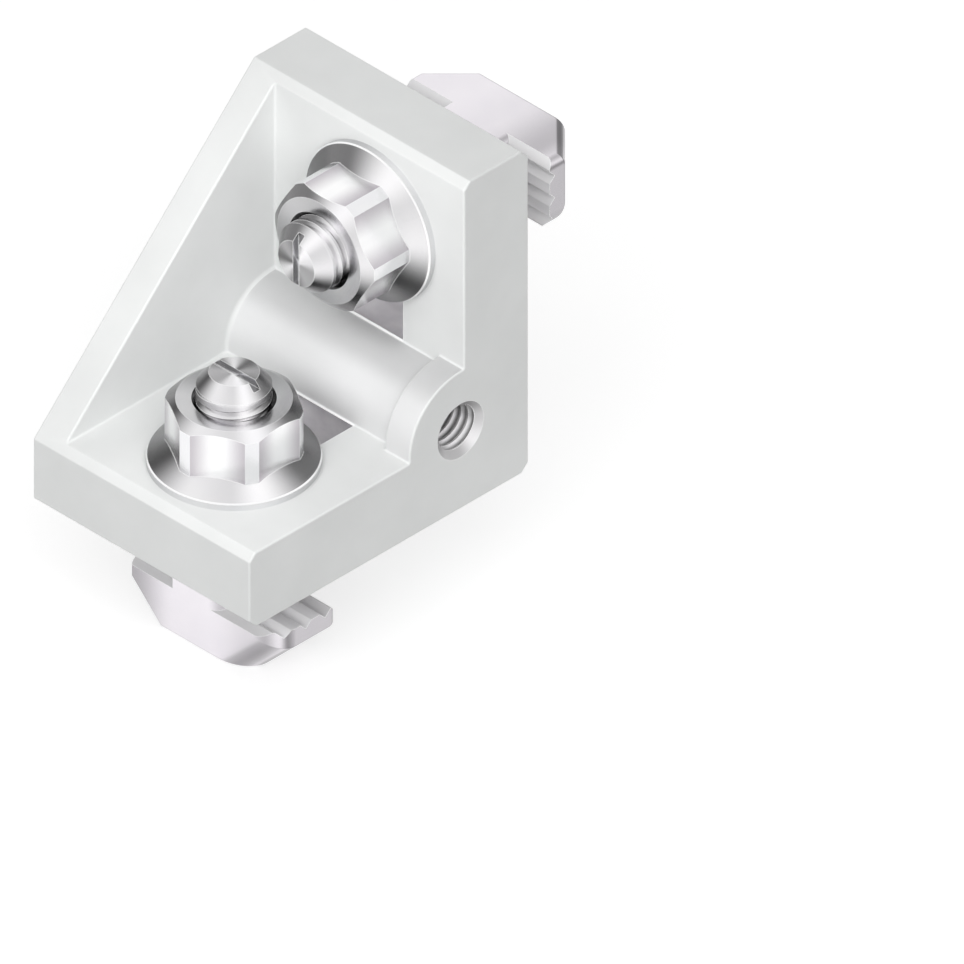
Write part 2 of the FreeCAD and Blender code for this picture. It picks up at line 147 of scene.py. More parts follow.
def combine(piece, other, operation):
    """Join or cut the piece with another closed piece, which is used up."""
    step = piece.modifiers.new(operation.lower(), "BOOLEAN")
    step.operation = operation
    step.solver = "EXACT"
    step.object = other
    apply_modifiers(piece)
    bpy.data.objects.remove(other)


def smooth(piece, sharp_angle):
    """Round surfaces shade smooth, and flat faces stay flat up to their edges."""
    skin = bmesh.new()
    skin.from_mesh(piece.data)
    for face in skin.faces:
        face.smooth = True
    for edge in skin.edges:
        edge.smooth = edge.is_manifold and edge.calc_face_angle(0.0) < math.radians(sharp_angle)
    skin.to_mesh(piece.data)
    skin.free()
    even = piece.modifiers.new("even_normals", "WEIGHTED_NORMAL")
    even.keep_sharp = True
    apply_modifiers(piece)


def turned(name, outline):
    """A solid of revolution about the Z axis; the outline's first and last points lie off the axis."""
    vertices = []
    for radius, height in outline:
        for step in range(ROUND_SEGMENTS):
            angle = 2 * math.pi * step / ROUND_SEGMENTS
            vertices.append((radius * math.cos(angle), radius * math.sin(angle), height))
    faces = []
    for row in range(len(outline) - 1):
        for step in range(ROUND_SEGMENTS):
            near = row * ROUND_SEGMENTS + step
            far = row * ROUND_SEGMENTS + (step + 1) % ROUND_SEGMENTS
            faces.append((near, far, far + ROUND_SEGMENTS, near + ROUND_SEGMENTS))
    faces.append(tuple(range(ROUND_SEGMENTS)))
    top = (len(outline) - 1) * ROUND_SEGMENTS
    faces.append(tuple(range(top + ROUND_SEGMENTS - 1, top - 1, -1)))
    return closed_mesh(name, vertices, faces)


def box(name, low, high):
    corners = [(x, y, z) for x in (low[0], high[0]) for y in (low[1], high[1]) for z in (low[2], high[2])]
    sides = [(0, 1, 3, 2), (4, 6, 7, 5), (0, 4, 5, 1), (2, 3, 7, 6), (0, 2, 6, 4), (1, 5, 7, 3)]
    return closed_mesh(name, corners, sides)


def thread_cutter(name, radius, depth, pitch, crest, top, bottom, start_angle, run_in):
    """The helical V groove of a right-hand thread about the Z axis, as a solid to cut away.

    radius is that of the surface it is cut into, and depth is negative for a thread on the outside.
    The groove grows to its full depth over run_in turns at each end.
    """
    steps = int((top - bottom) / pitch * THREAD_STEPS)
    half_width = pitch * (1 - crest) / 2
    outwards = math.copysign(1.0, depth)
    vertices = []
    for step in range(steps + 1):
        angle = math.radians(start_angle) - 2 * math.pi * step / THREAD_STEPS
        height = top - pitch * step / THREAD_STEPS
        growth = min(1.0, step / (run_in * THREAD_STEPS), (steps - step) / (run_in * THREAD_STEPS))
        growth = max(growth, SMALLEST_GROWTH)
        bottom_radius = radius + depth * growth
        open_radius = radius - outwards * GROOVE_OVERSHOOT
        open_half = half_width * (growth + GROOVE_OVERSHOOT / abs(depth))
        floor_half = GROOVE_FLOOR * half_width * growth
        section = (
            (open_radius, open_half), (bottom_radius, floor_half),
            (bottom_radius, -floor_half), (open_radius, -open_half))
        for reach, rise in section:
            vertices.append((reach * math.cos(angle), reach * math.sin(angle), height + rise))
    faces = []
    for step in range(steps):
        for side in range(4):
            here = 4 * step + side
            beside = 4 * step + (side + 1) % 4
            faces.append((here, beside, beside + 4, here + 4))
    faces.append((0, 1, 2, 3))
    faces.append((4 * steps + 3, 4 * steps + 2, 4 * steps + 1, 4 * steps))
    return closed_mesh(name, vertices, faces)


def placed(mesh, place):
    mesh.transform(place)
    return new_piece(mesh.name, mesh)


# The bracket, with the thread in its boss

along_x = Matrix.Translation((0.0, -HOLE_AXIS, HOLE_AXIS)) @ Matrix.Rotation(math.radians(90), 4, "Y")

bracket = new_piece("cast_bracket", welded_copy("bracket"))
hole_thread = thread_cutter(
    "hole_thread", HOLE_CORE_RADIUS, HOLE_THREAD_DEPTH, HOLE_PITCH, HOLE_CREST,
    HOLE_THREAD_TOP, HOLE_THREAD_END, 0.0, HOLE_RUN_IN)
combine(bracket, placed(hole_thread, along_x), "DIFFERENCE")
smooth(bracket, BRACKET_SHARP_ANGLE)
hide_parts("bracket")
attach(bracket, "bracket")


# The T-bolts: forged head and neck from the frame, threaded rod in its place

def threaded_rod(name, length, notch_along_x, thread_start):
    """The rod in the bolt's own frame, with its axis on Z and the thread's first turn under the cone."""
    cone_base = length - CONE_LENGTH
    outline = ((SHANK_RADIUS, NECK_TOP - ROD_IN_NECK), (SHANK_RADIUS, cone_base), (END_FACE_RADIUS, length))
    rod = new_piece(name, turned(name, outline))
    reach = (NOTCH_REACH, NOTCH_WIDTH / 2)
    across = reach if notch_along_x else reach[::-1]
    notch = box(
        name + "_notch",
        (-across[0], -across[1], length - NOTCH_DEPTH),
        (across[0], across[1], length + NOTCH_DEPTH))
    combine(rod, new_piece(name + "_notch", notch), "DIFFERENCE")
    groove = thread_cutter(
        name + "_groove", SHANK_RADIUS, -BOLT_THREAD_DEPTH, BOLT_PITCH, BOLT_CREST,
        cone_base - THREAD_BELOW_CONE, NECK_TOP + THREAD_ABOVE_NECK, thread_start, BOLT_RUN_IN)
    combine(rod, new_piece(name + "_groove", groove), "DIFFERENCE")
    return rod


def t_bolt(name, node, place, length, notch_along_x, thread_start):
    bolt = new_piece(name, welded_copy(node))
    plain_shank = box(
        name + "_shank", (-2 * SHANK_RADIUS, -2 * SHANK_RADIUS, NECK_TOP - NECK_TRIM),
        (2 * SHANK_RADIUS, 2 * SHANK_RADIUS, 2 * length))
    combine(bolt, placed(plain_shank, place), "DIFFERENCE")
    rod = threaded_rod(name + "_rod", length, notch_along_x, thread_start)
    rod.data.transform(place)
    combine(bolt, rod, "UNION")
    smooth(bolt, BOLT_SHARP_ANGLE)
    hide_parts(node)
    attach(bolt, node)
    return bolt


def centre(node, axis):
    low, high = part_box(node)
    return (low[axis] + high[axis]) / 2


bolt_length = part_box("lower_t_bolt")[1][2]
upright = Matrix.Translation((centre("lower_t_bolt", 0), centre("lower_t_bolt", 1), 0.0))
lying = (
    Matrix.Translation((centre("upper_t_bolt", 0), 0.0, centre("upper_t_bolt", 2)))
    @ Matrix.Rotation(math.radians(90), 4, "X"))
lower_bolt = t_bolt("lower_hammer_bolt", "lower_t_bolt", upright, bolt_length, True, LOWER_THREAD_START)
upper_bolt = t_bolt("upper_hammer_bolt", "upper_t_bolt", lying, bolt_length, False, UPPER_THREAD_START)


# Materials: the casting, its machined hole and the walls of its slots

WHITE = (1.0, 1.0, 1.0, 1.0)
CLOUD_SIZE = 9.0 * MM
CAST_DARK = (0.735, 0.745, 0.74)
CAST_PALE = (0.785, 0.795, 0.79)
# Painted highlight along the casting's outer edges, and how wide it is
CAST_EDGE_HIGHLIGHT = (0.96, 0.96, 0.96, 1.0)
CAST_HIGHLIGHT_WIDTH = 0.3 * MM
CAST_ROUGHNESS = (0.46, 0.6)
CAST_METALLIC = 0.1
BLASTED_GRAIN = 0.28 * MM
BLASTED_DEPTH = 0.01 * MM
DENT_SIZE = 3.0 * MM
DENT_DEPTH = 0.02 * MM
FINE_GRAIN = 0.3 * MM
MACHINED_ROUGHNESS = (0.3, 0.36)
MACHINED_METALLIC = 0.4
MACHINED_DEPTH = 0.0005 * MM
MACHINED_HIGHLIGHT_WIDTH = 0.15 * MM
# Painted shade in the thread: radii from its crests to its roots, and how dark the roots are painted
THREAD_CREST_RADIUS = HOLE_CORE_RADIUS + 0.2 * MM
THREAD_ROOT_RADIUS = 2.97 * MM
THREAD_ROOT_SHADE = 0.35
MOUTH_BOTTOM = HOLE_THREAD_TOP - 0.45 * MM
MOUTH_BLEND = 0.05 * MM
STREAK_SIZE = 1.6 * MM
# The slot walls' colours, paler than the cast outside: painted light that lifts the shade in the slots
SLOT_DARK = (0.84, 0.82, 0.85)
SLOT_PALE = (0.95, 0.93, 0.95)
SLOT_ROUGHNESS = (0.34, 0.42)
SLOT_DEPTH = 0.002 * MM

# Painted light and shade against the share of a turn round the boss's axis, which is 0 on top and 0.25 at
# the front:
# painted reflections in the threaded hole and on its countersink, and painted shade and highlight on the
# round outside
THREAD_PAINTED_FAN = ((0.0, 0.25), (0.3, 0.3), (0.42, 0.5), (0.52, 1.0), (0.68, 1.0), (0.76, 0.5), (0.86, 0.3))
MOUTH_PAINTED_FAN = ((0.0, 0.3), (0.25, 0.6), (0.5, 0.5), (0.62, 0.85), (0.76, 0.6), (0.88, 0.32))
BOSS_PAINTED_SHADE = ((0.0, 0.77), (0.07, 0.79), (0.135, 0.98), (0.17, 1.0), (0.24, 0.94), (0.6, 0.8))

# Materials: the zinc

# Painted reflections: fans of brightness round the axis of a turned, plated part, on its cones and flat
# ends, whose brightest sector lies on the side of the bracket's open corner
CONE_PAINTED_FAN = ((0.0, 0.8), (0.19, 0.38), (0.29, 0.08), (0.41, 0.85), (0.49, 0.75), (0.55, 1.0), (0.67, 0.19),
            (0.86, 0.24))
FACE_PAINTED_FAN = ((0.0, 0.85), (0.12, 0.22), (0.24, 0.48), (0.37, 0.42), (0.46, 0.85), (0.54, 1.0), (0.62, 0.25),
            (0.76, 0.42), (0.88, 0.18))
# Painted reflections on the forged heads, against the direction that a face looks in
LOWER_CORNER_PAINTED_FAN = ((0.0, 0.35), (0.125, 0.7), (0.25, 0.4), (0.375, 1.0), (0.45, 0.65), (0.52, 1.0),
                    (0.57, 0.35), (0.625, 0.7), (0.75, 0.4), (0.875, 0.7))
UPPER_CORNER_PAINTED_FAN = ((0.0, 0.35), (0.125, 0.7), (0.25, 0.4), (0.375, 0.66), (0.43, 0.35), (0.48, 1.0),
                    (0.55, 0.65), (0.625, 1.0), (0.75, 0.4), (0.875, 0.7))
# Painted light and shade in bands along each head from one end to the other, along its flat outer face, and
# across its gripping faces
LOWER_HEAD_PAINTED_BANDS = ((0.0, 0.5), (0.3, 1.0), (0.55, 1.0), (0.86, 0.8), (1.0, 0.95))
UPPER_HEAD_PAINTED_BANDS = ((0.0, 1.0), (0.3, 1.0), (0.55, 0.94), (0.86, 0.6), (1.0, 0.9))
CROWN_PAINTED_BANDS = ((0.0, 0.4), (0.22, 0.85), (0.5, 0.55), (0.75, 0.9), (1.0, 0.45))
GRIP_PAINTED_BANDS = ((0.0, 0.7), (0.2, 1.0), (0.42, 0.82), (0.6, 1.0), (0.85, 0.75), (1.0, 1.0))
# Painted shade on the rounded edges of each head, as their brightness
LOWER_EDGE_SHADE = 0.78
UPPER_EDGE_SHADE = 0.4
HEAD_LENGTH = 20.6 * MM
HEAD_WIDTH = 9.0 * MM
# Angles in degrees: the open corner, seen from each bolt's own X, and one flat of each nut's hexagon
LOWER_OPEN_CORNER = -45.0
UPPER_OPEN_CORNER = 45.0
LOWER_FLAT = 45.0
UPPER_FLAT = -15.0
FAN_GREEN = 0.99
# Painted shade towards the edges of the hexagon's flats
FLAT_EDGE_SHADE = (0.58, 0.55, 0.58, 1.0)
CORNER_STRIP = (0.88, 0.88, 0.89, 1.0)
# Painted shade on the flange's rim, and the share of the cone's painted reflections in it
RIM_SHADE = (0.8, 0.8, 0.81, 1.0)
RIM_FAN = 0.35
PLAIN_ZINC = (0.86, 0.86, 0.87, 1.0)
FORGED_ZINC = (0.87, 0.865, 0.875, 1.0)
ZINC_CLOUD_SIZE = 4.0 * MM
ZINC_TINT = (0.965, 0.965, 0.975)
ZINC_ROUGHNESS = (0.2, 0.26)
ZINC_DEPTH = 0.0012 * MM
ZINC_SWEEP = 0.6
FORGED_METALLIC = 0.9
GRIP_METALLIC = 0.15
# Widths of the painted highlights along the outer edges
NUT_HIGHLIGHT_WIDTH = 0.17 * MM
ROD_HIGHLIGHT_WIDTH = 0.14 * MM
HEAD_HIGHLIGHT_WIDTH = 0.13 * MM
NUT_FACE_LIFT = 0.4
HEXAGON_SIDES = 6
HEXAGON_CORNER = 7.13 * MM
HEXAGON_REACH = 7.5 * MM
FLAT_SHADING = (-0.8, 0.9)
CORNER_BLEND = 0.025 * MM
CORNER_INSET = 0.03 * MM
RIM_BLEND = 0.075 * MM
# Where the painted highlight along the flange's lip begins
FLANGE_LIP_HIGHLIGHT = 8.79 * MM
LIP_BLEND = 0.03 * MM
END_FACE_REACH = 2.7 * MM
END_FACE_BLEND = 0.27 * MM
# How far a flat end and a side look along the axis, as cosines between which they fade out
FACE_LOOK = (0.95, 0.98)
SIDE_LOOK = (0.1, 0.3)

# The bevel that finds outer edges: how far the rounded normal leans from the face's, as a cosine
BEVEL_SAMPLES = 6
EDGE_LEAN = 0.9
FACE_LEAN = 0.985

# The part of a noise's range that is drawn out to its whole effect
NOISE_LOW = 0.3
NOISE_HIGH = 0.7


class Nodes:
    """Shorthand for one material's node tree."""

    def __init__(self, name):
        self.material = bpy.data.materials.new(name)
        self.material.use_nodes = True
        self.tree = self.material.node_tree
        self.tree.nodes.clear()
        coordinates = self.add("ShaderNodeTexCoord")
        self.place = coordinates.outputs["Object"]
        self.normal = coordinates.outputs["Normal"]

    def add(self, kind, **settings):
        node = self.tree.nodes.new(kind)
        for key, value in settings.items():
            setattr(node, key, value)
        return node

    def link(self, output, target):
        self.tree.links.new(output, target)

    def noise(self, size, detail=2.0, roughness=0.5):
        texture = self.add("ShaderNodeTexNoise")
        texture.inputs["Scale"].default_value = 1.0 / size
        texture.inputs["Detail"].default_value = detail
        texture.inputs["Roughness"].default_value = roughness
        self.link(self.place, texture.inputs["Vector"])
        return texture.outputs["Fac"]

    def ramp(self, source, low, high, start=NOISE_LOW, end=NOISE_HIGH):
        """The source's values from start to end become low to high, as numbers."""
        node = self.add("ShaderNodeMapRange")
        node.inputs["From Min"].default_value = start
        node.inputs["From Max"].default_value = end
        node.inputs["To Min"].default_value = low
        node.inputs["To Max"].default_value = high
        self.link(source, node.inputs["Value"])
        return node.outputs["Result"]

    def colours(self, source, low, high):
        """The noise from one colour to another."""
        node = self.add("ShaderNodeValToRGB")
        for element, place, colour in zip(node.color_ramp.elements, (NOISE_LOW, NOISE_HIGH), (low, high)):
            element.position = place
            element.color = (*colour, 1.0)
        self.link(source, node.inputs["Fac"])
        return node.outputs["Color"]

    def split(self, vector):
        """The three parts of a vector, by the names X, Y and Z."""
        node = self.add("ShaderNodeSeparateXYZ")
        self.link(vector, node.inputs["Vector"])
        return node.outputs

    def turn_of(self, vector):
        """The vector's angle about Z as a share of a turn."""
        node = self.add("ShaderNodeTexGradient", gradient_type="RADIAL")
        self.link(vector, node.inputs["Vector"])
        return node.outputs["Fac"]

    def fan(self, share, stops, closed=True):
        """Brightness against a share, which closes on itself where the share is that of a turn."""
        node = self.add("ShaderNodeValToRGB")
        node.color_ramp.interpolation = "EASE"
        if closed:
            stops = (*stops, (1.0, stops[0][1]))
        for place, _ in stops[1:-1]:
            node.color_ramp.elements.new(place)
        for element, (place, level) in zip(node.color_ramp.elements, stops):
            element.position = place
            element.color = (level, FAN_GREEN * level, level, 1.0)
        self.link(share, node.inputs["Fac"])
        return node.outputs["Color"]

    def mix(self, share, first, second, blend="MIX"):
        node = self.add("ShaderNodeMix", data_type="RGBA", blend_type=blend)
        for target, value in ((node.inputs[0], share), (node.inputs[6], first), (node.inputs[7], second)):
            if isinstance(value, bpy.types.NodeSocket):
                self.link(value, target)
            else:
                target.default_value = value
        return node.outputs[2]

    def math(self, operation, first, second=None):
        node = self.add("ShaderNodeMath", operation=operation)
        self.link(first, node.inputs[0])
        if second is not None and isinstance(second, bpy.types.NodeSocket):
            self.link(second, node.inputs[1])
        elif second is not None:
            node.inputs[1].default_value = second
        return node.outputs["Value"]

    def from_axis(self, parts):
        """The distance from the Z axis of a place that is split into its three parts."""
        across = self.add("ShaderNodeCombineXYZ")
        self.link(parts["X"], across.inputs["X"])
        self.link(parts["Y"], across.inputs["Y"])
        length = self.add("ShaderNodeVectorMath", operation="LENGTH")
        self.link(across.outputs["Vector"], length.inputs[0])
        return length.outputs["Value"]

    def in_frame(self, vector, place, kind):
        """The vector in another frame, which place leads to."""
        node = self.add("ShaderNodeMapping", vector_type=kind)
        node.inputs["Rotation"].default_value = place.to_euler()
        if kind == "POINT":
            node.inputs["Location"].default_value = place.translation
        self.link(vector, node.inputs["Vector"])
        return node.outputs["Vector"]

    def convex_edges(self, width):
        """1 along the piece's outer edges, from how far a rounded edge would lean away from the face."""
        rounded = self.add("ShaderNodeBevel", samples=BEVEL_SAMPLES)
        rounded.inputs["Radius"].default_value = width
        facing_out = self.add("ShaderNodeNewGeometry").outputs["Normal"]
        lean = self.add("ShaderNodeVectorMath", operation="DOT_PRODUCT")
        self.link(rounded.outputs["Normal"], lean.inputs[0])
        self.link(facing_out, lean.inputs[1])
        return self.ramp(lean.outputs["Value"], 1.0, 0.0, EDGE_LEAN, FACE_LEAN)

    def bump(self, height, depth, below=None):
        node = self.add("ShaderNodeBump")
        node.inputs["Distance"].default_value = depth
        self.link(height, node.inputs["Height"])
        if below is not None:
            self.link(below, node.inputs["Normal"])
        return node.outputs["Normal"]

    def finish(self, colour, roughness, normal, metallic, anisotropic=0.0, tangent=None):
        shader = self.add("ShaderNodeBsdfPrincipled")
        shader.inputs["Metallic"].default_value = metallic
        shader.inputs["Anisotropic"].default_value = anisotropic
        self.link(colour, shader.inputs["Base Color"])
        self.link(roughness, shader.inputs["Roughness"])
        self.link(normal, shader.inputs["Normal"])
        if tangent is not None:
            self.link(tangent, shader.inputs["Tangent"])
        output = self.add("ShaderNodeOutputMaterial")
        self.link(shader.outputs["BSDF"], output.inputs["Surface"])
        return self.material


def round_boss(nodes):
    """The turn round the boss's axis, and the parts of the place in a frame with that axis on Z."""
    place = nodes.in_frame(nodes.place, along_x.inverted(), "POINT")
    return nodes.turn_of(place), nodes.split(place)


def cast_aluminium(name, painted_shade=None):
    """Die-cast and fine-blasted: a soft silky grey with a fine grain, cloudiness and painted highlights
    along the outer edges.

    The last argument is a fan of painted shade and painted highlight round the boss's axis, for the round
    faces.
    """
    nodes = Nodes(name)
    clouds = nodes.noise(CLOUD_SIZE, detail=3.0)
    grain = nodes.noise(BLASTED_GRAIN, detail=3.0, roughness=0.6)
    colour = nodes.colours(clouds, CAST_DARK, CAST_PALE)
    if painted_shade is not None:
        turn, _ = round_boss(nodes)
        # Painted shade and highlight on the boss's round faces: darker on top, a bright streak towards the
        # front
        colour = nodes.mix(1.0, colour, nodes.fan(turn, painted_shade), blend="MULTIPLY")
    # Painted highlight: the outer edges turn near-white
    colour = nodes.mix(nodes.convex_edges(CAST_HIGHLIGHT_WIDTH), colour, CAST_EDGE_HIGHLIGHT)
    roughness = nodes.ramp(grain, *CAST_ROUGHNESS)
    fine = nodes.bump(grain, BLASTED_DEPTH)
    normal = nodes.bump(nodes.noise(DENT_SIZE), DENT_DEPTH, below=fine)
    return nodes.finish(colour, roughness, normal, CAST_METALLIC)


def machined_aluminium():
    """Bright metal of the countersink and the thread in the boss, with painted reflections in fans round
    the hole, painted shade in the thread's roots and painted highlights on its edges.
    """
    nodes = Nodes("machined_aluminium")
    turn, along = round_boss(nodes)
    radius = nodes.from_axis(along)
    # Painted shade, darker towards the roots of the thread
    root_shade = nodes.ramp(radius, 1.0, THREAD_ROOT_SHADE, THREAD_CREST_RADIUS, THREAD_ROOT_RADIUS)
    thread = nodes.mix(1.0, nodes.fan(turn, THREAD_PAINTED_FAN), root_shade, blend="MULTIPLY")
    in_mouth = nodes.ramp(along["Z"], 0.0, 1.0, MOUTH_BOTTOM, MOUTH_BOTTOM + MOUTH_BLEND)
    colour = nodes.mix(in_mouth, thread, nodes.fan(turn, MOUTH_PAINTED_FAN))
    # Painted highlight on the outer edges of the hole
    colour = nodes.mix(nodes.convex_edges(MACHINED_HIGHLIGHT_WIDTH), colour, WHITE)
    grain = nodes.noise(FINE_GRAIN)
    roughness = nodes.ramp(grain, *MACHINED_ROUGHNESS)
    return nodes.finish(colour, roughness, nodes.bump(grain, MACHINED_DEPTH), MACHINED_METALLIC)


def slot_wall_painted_light():
    """The walls of the slots: smoother and glossier than the blasted outside, a little streaked, and paler,
    as painted light that lifts the shade in the slots.
    """
    nodes = Nodes("slot_wall_painted_light")
    streaks = nodes.noise(STREAK_SIZE)
    # Painted light: streaked colours paler than the cast outside
    colour = nodes.colours(streaks, SLOT_DARK, SLOT_PALE)
    roughness = nodes.ramp(streaks, *SLOT_ROUGHNESS)
    return nodes.finish(colour, roughness, nodes.bump(nodes.noise(FINE_GRAIN), SLOT_DEPTH), metallic=0.0)


class ZincPlate(Nodes):
    """Bright zinc plate on a part with its own axis.

    place puts the part's axis on Z and the bracket's open corner on the side of X.
    """

    def __init__(self, name, place):
        super().__init__(name)
        self.frame = place
        self.own = self.in_frame(self.place, place, "POINT")
        self.own_normal = self.in_frame(self.normal, place, "NORMAL")
        self.turn = self.turn_of(self.own)
        self.facing_axis = self.math("ABSOLUTE", self.split(self.own_normal)["Z"])
        self.is_face = self.ramp(self.facing_axis, 0.0, 1.0, *FACE_LOOK)
        self.is_side = self.ramp(self.facing_axis, 1.0, 0.0, *SIDE_LOOK)
        self.radius = self.from_axis(self.split(self.own))

    def turned_faces(self, face_lift=0.0):
        """The painted reflections in fans on cones and flat ends, and the first alone; face_lift makes the
        flat ends paler.
        """
        cone = self.fan(self.turn, CONE_PAINTED_FAN)
        face = self.mix(face_lift, self.fan(self.turn, FACE_PAINTED_FAN), CORNER_STRIP)
        return self.mix(self.is_face, cone, face), cone

    def plated(self, colour, highlight_width, metallic=1.0):
        """The whole finish: clouds, painted highlights along the outer edges and a fine grain drawn out
        round the axis.
        """
        tint = self.colours(self.noise(ZINC_CLOUD_SIZE), ZINC_TINT, WHITE[:3])
        colour = self.mix(1.0, colour, tint, blend="MULTIPLY")
        # Painted highlight: the outer edges turn white
        colour = self.mix(self.convex_edges(highlight_width), colour, WHITE)
        grain = self.noise(FINE_GRAIN)
        roughness = self.ramp(grain, *ZINC_ROUGHNESS)
        from_axis = self.add("ShaderNodeVectorMath", operation="SUBTRACT")
        self.link(self.place, from_axis.inputs[0])
        from_axis.inputs[1].default_value = self.frame.inverted().translation
        around = self.add("ShaderNodeVectorMath", operation="CROSS_PRODUCT")
        around.inputs[0].default_value = self.frame.inverted().to_3x3().col[2]
        self.link(from_axis.outputs["Vector"], around.inputs[1])
        to_world = self.add(
            "ShaderNodeVectorTransform", vector_type="VECTOR", convert_from="OBJECT", convert_to="WORLD")
        self.link(around.outputs["Vector"], to_world.inputs["Vector"])
        return self.finish(
            colour, roughness, self.bump(grain, ZINC_DEPTH), metallic, anisotropic=ZINC_SWEEP,
            tangent=to_world.outputs["Vector"])


def zinc_nut(name, place, first_flat):
    """The nut: painted reflections in fans on its flange and face, painted shade on the flats darker
    towards their corners, and a painted highlight along the flange's lip.
    """
    nodes = ZincPlate(name, place)
    colour, cone = nodes.turned_faces(NUT_FACE_LIFT)
    # Painted shade on the hexagon's flats: white in the middle of each flat, darker towards its corners
    angle = nodes.math("MULTIPLY", nodes.turn, 2 * math.pi * HEXAGON_SIDES)
    start = math.radians(HEXAGON_SIDES * (first_flat + 180))
    flat_middle = nodes.math("COSINE", nodes.math("SUBTRACT", angle, start))
    shaded_flats = nodes.mix(nodes.ramp(flat_middle, 0.0, 1.0, *FLAT_SHADING), FLAT_EDGE_SHADE, WHITE)
    corner_start = HEXAGON_CORNER - CORNER_INSET
    is_corner = nodes.ramp(nodes.radius, 0.0, 1.0, corner_start, corner_start + CORNER_BLEND)
    shaded_flats = nodes.mix(is_corner, shaded_flats, CORNER_STRIP)
    # The flange's rim: painted shade, partly mixed with the cone's painted reflections
    rim = nodes.mix(RIM_FAN, RIM_SHADE, cone)
    is_rim = nodes.ramp(nodes.radius, 0.0, 1.0, HEXAGON_REACH, HEXAGON_REACH + RIM_BLEND)
    # Painted highlight along the flange's lip
    lip_highlight = nodes.ramp(nodes.radius, 0.0, 1.0, FLANGE_LIP_HIGHLIGHT, FLANGE_LIP_HIGHLIGHT + LIP_BLEND)
    colour = nodes.mix(lip_highlight, colour, WHITE)
    colour = nodes.mix(nodes.is_side, colour, nodes.mix(is_rim, shaded_flats, rim))
    return nodes.plated(colour, NUT_HIGHLIGHT_WIDTH)


def zinc_bolt_end(name, place):
    """The threaded rod: painted reflections in fans on the cone, the end face and the thread, plain in the
    notch.
    """
    nodes = ZincPlate(name, place)
    colour, _ = nodes.turned_faces()
    near_axis = nodes.ramp(nodes.radius, 1.0, 0.0, END_FACE_REACH, END_FACE_REACH + END_FACE_BLEND)
    in_notch = nodes.math("MULTIPLY", nodes.is_side, near_axis)
    colour = nodes.mix(in_notch, colour, PLAIN_ZINC)
    return nodes.plated(colour, ROD_HIGHLIGHT_WIDTH)


def head_share(nodes, along_head, axis, size):
    """How far a place is along or across the head, from 0 to 1.

    along_head turns the part's own frame so that X runs along the head.
    """
    along = nodes.in_frame(nodes.own, Matrix.Rotation(math.radians(along_head), 4, "Z"), "POINT")
    return nodes.ramp(nodes.split(along)[axis], 0.0, 1.0, -size / 2, size / 2)


def edge_shade_fan(shade):
    """Painted shade against how far a face looks along the axis, darker on the rounded edges between a
    head's flat faces, which lie at 0, 0.71 and 1.
    """
    return (
        (0.0, 1.0), (0.12, 1.0), (0.25, shade), (0.55, shade), (0.67, 1.0),
        (0.75, 1.0), (0.81, shade), (0.92, shade), (0.98, 1.0))


def zinc_head(name, place, along_head, head_painted_bands, corner_painted_fan, edge_shade):
    """The forged head and neck: painted light and shade in bands along it, painted reflections in fans
    round its corners, and painted shade on its rounded edges.
    """
    nodes = ZincPlate(name, place)
    share = head_share(nodes, along_head, "X", HEAD_LENGTH)
    # Painted light and shade in bands along the head, and painted reflections by the direction each face
    # looks in
    painted_bands = nodes.fan(share, head_painted_bands, closed=False)
    corners = nodes.fan(nodes.turn_of(nodes.own_normal), corner_painted_fan)
    colour = nodes.mix(1.0, painted_bands, corners, blend="MULTIPLY")
    # Painted light and shade in bands on the flat ends
    colour = nodes.mix(nodes.is_face, colour, nodes.fan(share, CROWN_PAINTED_BANDS, closed=False))
    # Painted shade on the rounded edges
    edges = nodes.fan(nodes.facing_axis, edge_shade_fan(edge_shade), closed=False)
    colour = nodes.mix(1.0, colour, edges, blend="MULTIPLY")
    colour = nodes.mix(1.0, colour, FORGED_ZINC, blend="MULTIPLY")
    return nodes.plated(colour, HEAD_HIGHLIGHT_WIDTH, FORGED_METALLIC)


def zinc_grip(name, place, along_head):
    """The grooved faces of the head that grip the profile: paler, nearly matt zinc with painted light and
    shade in bands across them.
    """
    nodes = ZincPlate(name, place)
    # Painted light and shade in bands across the gripping faces
    painted_bands = nodes.fan(head_share(nodes, along_head, "Y", HEAD_WIDTH), GRIP_PAINTED_BANDS, closed=False)
    return nodes.plated(painted_bands, HEAD_HIGHLIGHT_WIDTH, GRIP_METALLIC)


def dress(piece, material, *others):
    """One material, and others for faces; each comes with a test of a face's middle and normal."""
    piece.data.materials.clear()
    piece.data.materials.append(material)
    for other, _ in others:
        piece.data.materials.append(other)
    for face in piece.data.polygons:
        fits = [index for index, (_, test) in enumerate(others, 1) if test(face.center, face.normal)]
        face.material_index = fits[0] if fits else 0


def in_boss_hole(middle, normal):
    from_axis = math.hypot(middle.y + HOLE_AXIS, middle.z - HOLE_AXIS)
    return from_axis < MOUTH_RADIUS and middle.x < OPEN_SIDE - 0.02 * MM and normal.x < 0.95


def on_boss(middle, normal):
    """True on the round faces of the boss and its collar."""
    outwards = Vector((0.0, middle.y + HOLE_AXIS, middle.z - HOLE_AXIS))
    is_near = BOSS_RADIUS - FACE_MARGIN < outwards.length < COLLAR_RADIUS + FACE_MARGIN
    return is_near and normal.dot(outwards.normalized()) > 0.9


def in_slot(middle, normal):
    """True inside the slot of either leg."""
    in_width = SLOT_SIDE_LOW < middle.x < SLOT_SIDE_HIGH
    lower = 0.0 < middle.z < LEG_THICKNESS - FACE_MARGIN and -SLOT_REACH < middle.y < -SLOT_START
    upper = -LEG_THICKNESS + FACE_MARGIN < middle.y < 0.0 and SLOT_START < middle.z < SLOT_REACH
    return in_width and (lower and abs(normal.z) < 0.5 or upper and abs(normal.y) < 0.5)


